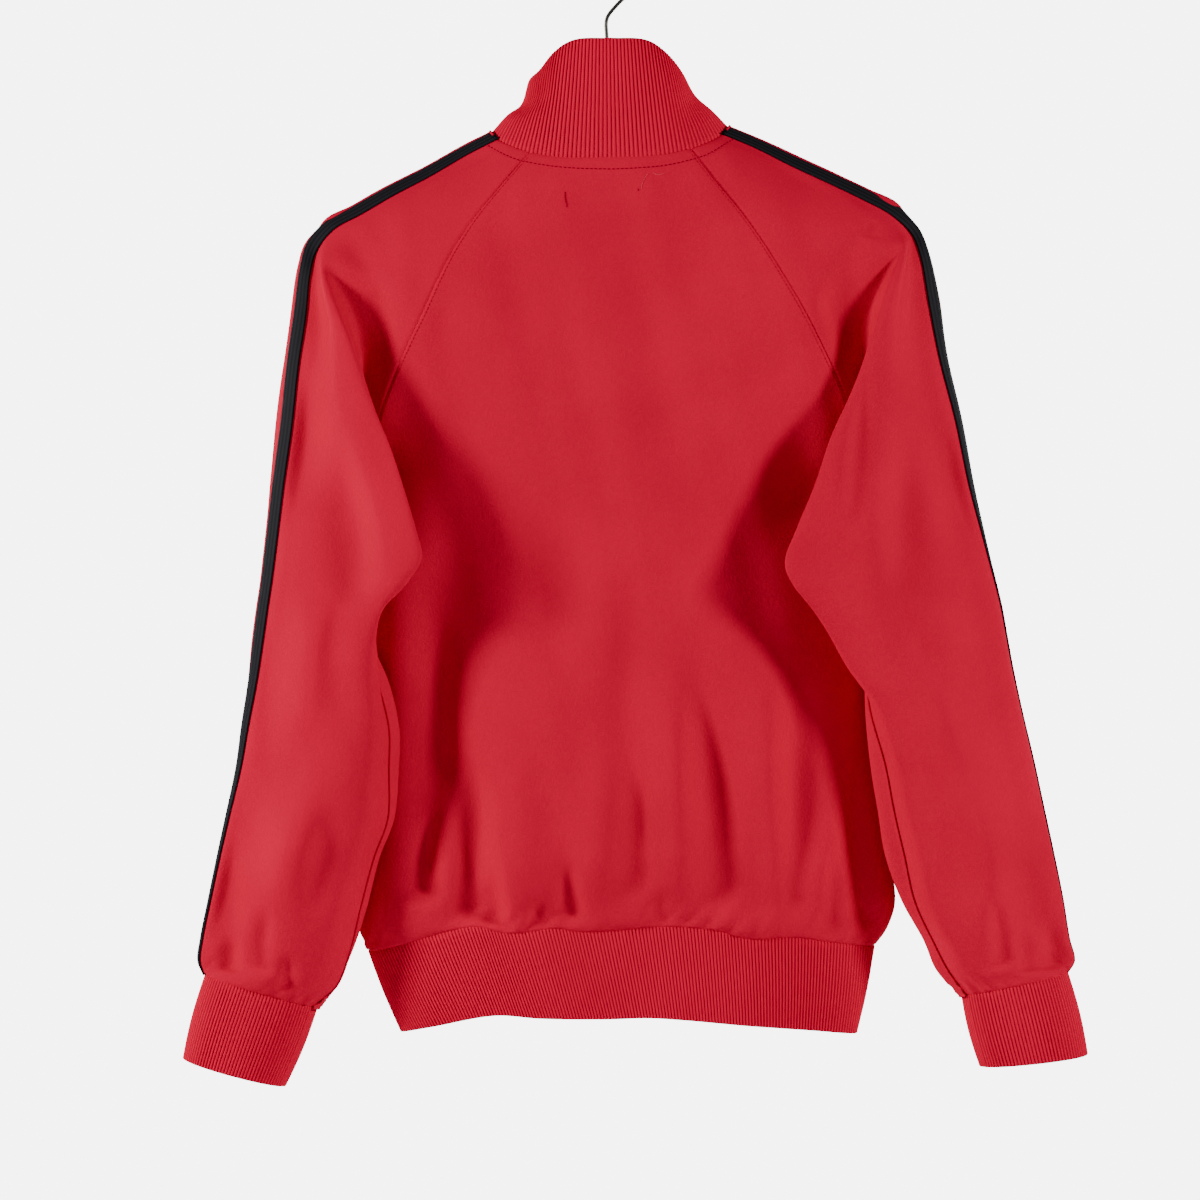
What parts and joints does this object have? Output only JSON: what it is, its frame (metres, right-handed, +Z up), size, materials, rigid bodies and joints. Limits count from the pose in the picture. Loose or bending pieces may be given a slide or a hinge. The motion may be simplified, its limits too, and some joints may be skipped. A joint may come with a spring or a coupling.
{
  "type": "track jacket on a hanger",
  "caption": "Zip-up track jacket with raglan sleeves, sleeve tapes, a stand collar, ribbed cuffs and a ribbed hem, held closed on a plain hanger.",
  "frame": {"origin": "the inside top of the hanger's hook, where a rod carries it, on the jacket's middle", "axes": "+Z up along the back, -Y to the zip and the wearer's front, +X to the wearer's left"},
  "size_m": [0.6597, 0.1319, 0.8332],
  "materials": {
    "red_knit": "smooth double knit",
    "red_rib": "rib knit",
    "black_tape": "flat woven tape",
    "zip_tape": "woven zip tape",
    "zip_metal": "pale satin metal",
    "hanger_plastic": "moulded matt",
    "hanger_wire": "dark coated wire"
  },
  "bodies": {
    "root": {"back": "red_knit", "front_left": "red_knit", "front_right": "red_knit", "sleeve_back_left": "red_knit", "sleeve_front_left": "red_knit", "tape_left": "black_tape", "sleeve_back_right": "red_knit", "sleeve_front_right": "red_knit", "tape_right": "black_tape", "collar": "red_rib", "hem_rib": "red_rib", "cuff_left": "red_rib", "cuff_right": "red_rib", "zip_tape_left": "zip_tape", "zip_tape_right": "zip_tape", "zip_chain": "zip_metal", "zip_stop": "zip_metal", "zip_slider": "zip_metal", "hanger_bar": "hanger_plastic", "hanger_hook": "hanger_wire"},
    "pull": {"zip_pull": "zip_metal"}
  },
  "joints": [
    {"name": "pull_hinge", "type": "hinge", "parent": "root", "child": "pull", "pos_m": [0, -0.0549, -0.138], "axis": [-1, 0, 0], "range_deg": [0, 150]}
  ]
}
